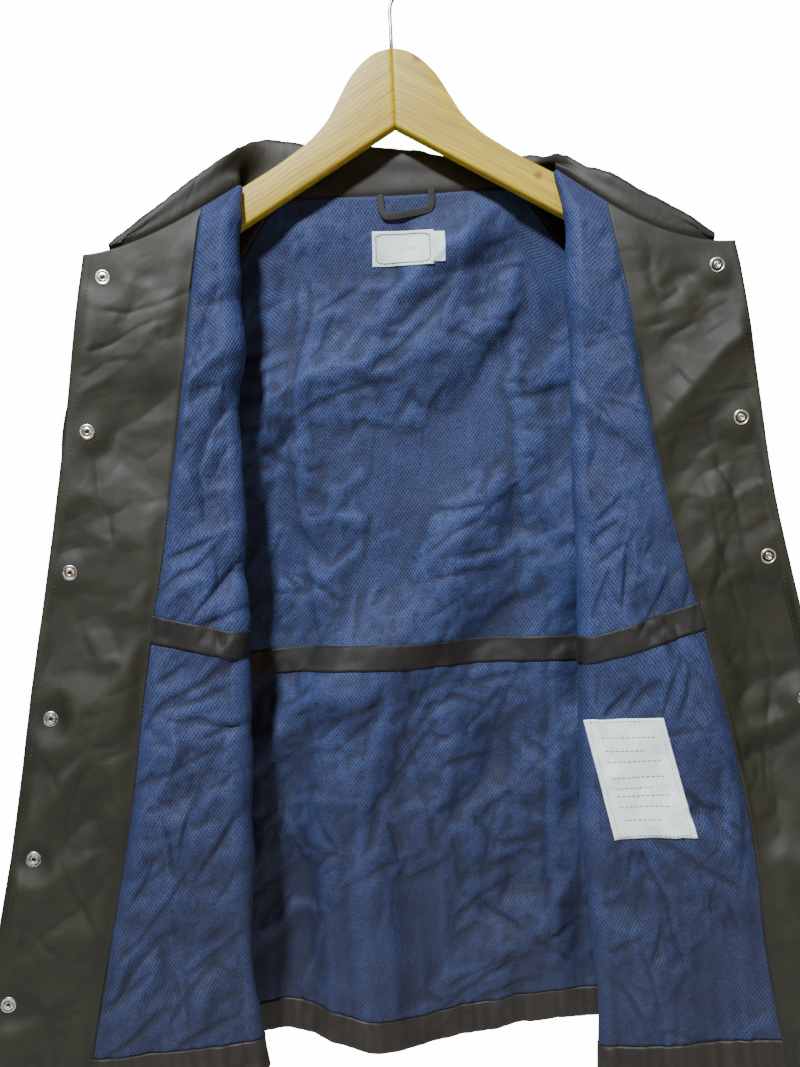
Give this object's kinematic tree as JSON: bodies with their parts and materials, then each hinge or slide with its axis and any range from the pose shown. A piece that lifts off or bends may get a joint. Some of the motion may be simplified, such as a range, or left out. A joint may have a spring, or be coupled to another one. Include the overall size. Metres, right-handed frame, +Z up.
{
  "type": "coach jacket on a hanger",
  "caption": "Raglan coach jacket hung open on a wooden hanger, its snap fronts folded back over a mesh lining, with sleeves hanging behind.",
  "frame": {"origin": "inside of the top of the hanger's hook, on the centre of the wire, where the rail bears", "axes": "+X to the right of someone facing the open front, +Y towards the jacket's back, +Z up"},
  "size_m": [0.749, 0.1743, 0.9582],
  "materials": {
    "shell_nylon": "matt olive-black coated nylon",
    "facing_nylon": "olive-black coated nylon with a low sheen",
    "casing_nylon": "olive-black coated nylon",
    "mesh_lining": "blue knitted mesh",
    "tape": "dark woven tape",
    "woven_label": "bare woven label",
    "printed_label": "bare satin label",
    "snap_metal": "nickel-plated",
    "hook_wire": "plated wire",
    "hanger_wood": "pale pine, satin lacquer"
  },
  "bodies": {
    "root": {"shell_back": "shell_nylon", "shell_left": "shell_nylon", "shell_right": "shell_nylon", "lining_back": "mesh_lining", "lining_left": "mesh_lining", "lining_right": "mesh_lining", "facing_left": "facing_nylon", "facing_right": "facing_nylon", "hem_casing_back": "casing_nylon", "hem_casing_left": "casing_nylon", "hem_casing_right": "casing_nylon", "tape_back": "tape", "tape_left": "tape", "tape_right": "tape", "sleeve_left": "shell_nylon", "sleeve_right": "shell_nylon", "collar": "shell_nylon", "hang_loop": "tape", "neck_label": "woven_label", "size_tab": "printed_label", "care_patch": "printed_label", "hanger_arm_left": "hanger_wood", "hanger_arm_right": "hanger_wood", "hanger_hook": "hook_wire", "snap_left_1_inner": "snap_metal", "snap_left_1_outer": "snap_metal", "snap_left_2_inner": "snap_metal", "snap_left_2_outer": "snap_metal", "snap_left_3_inner": "snap_metal", "snap_left_3_outer": "snap_metal", "snap_left_4_inner": "snap_metal", "snap_left_4_outer": "snap_metal", "snap_left_5_inner": "snap_metal", "snap_left_5_outer": "snap_metal", "snap_left_6_inner": "snap_metal", "snap_left_6_outer": "snap_metal", "snap_right_1_inner": "snap_metal", "snap_right_1_outer": "snap_metal", "snap_right_2_inner": "snap_metal", "snap_right_2_outer": "snap_metal", "snap_right_3_inner": "snap_metal", "snap_right_3_outer": "snap_metal", "snap_right_4_inner": "snap_metal", "snap_right_4_outer": "snap_metal", "snap_right_5_inner": "snap_metal", "snap_right_5_outer": "snap_metal", "snap_right_6_inner": "snap_metal", "snap_right_6_outer": "snap_metal"}
  },
  "joints": []
}
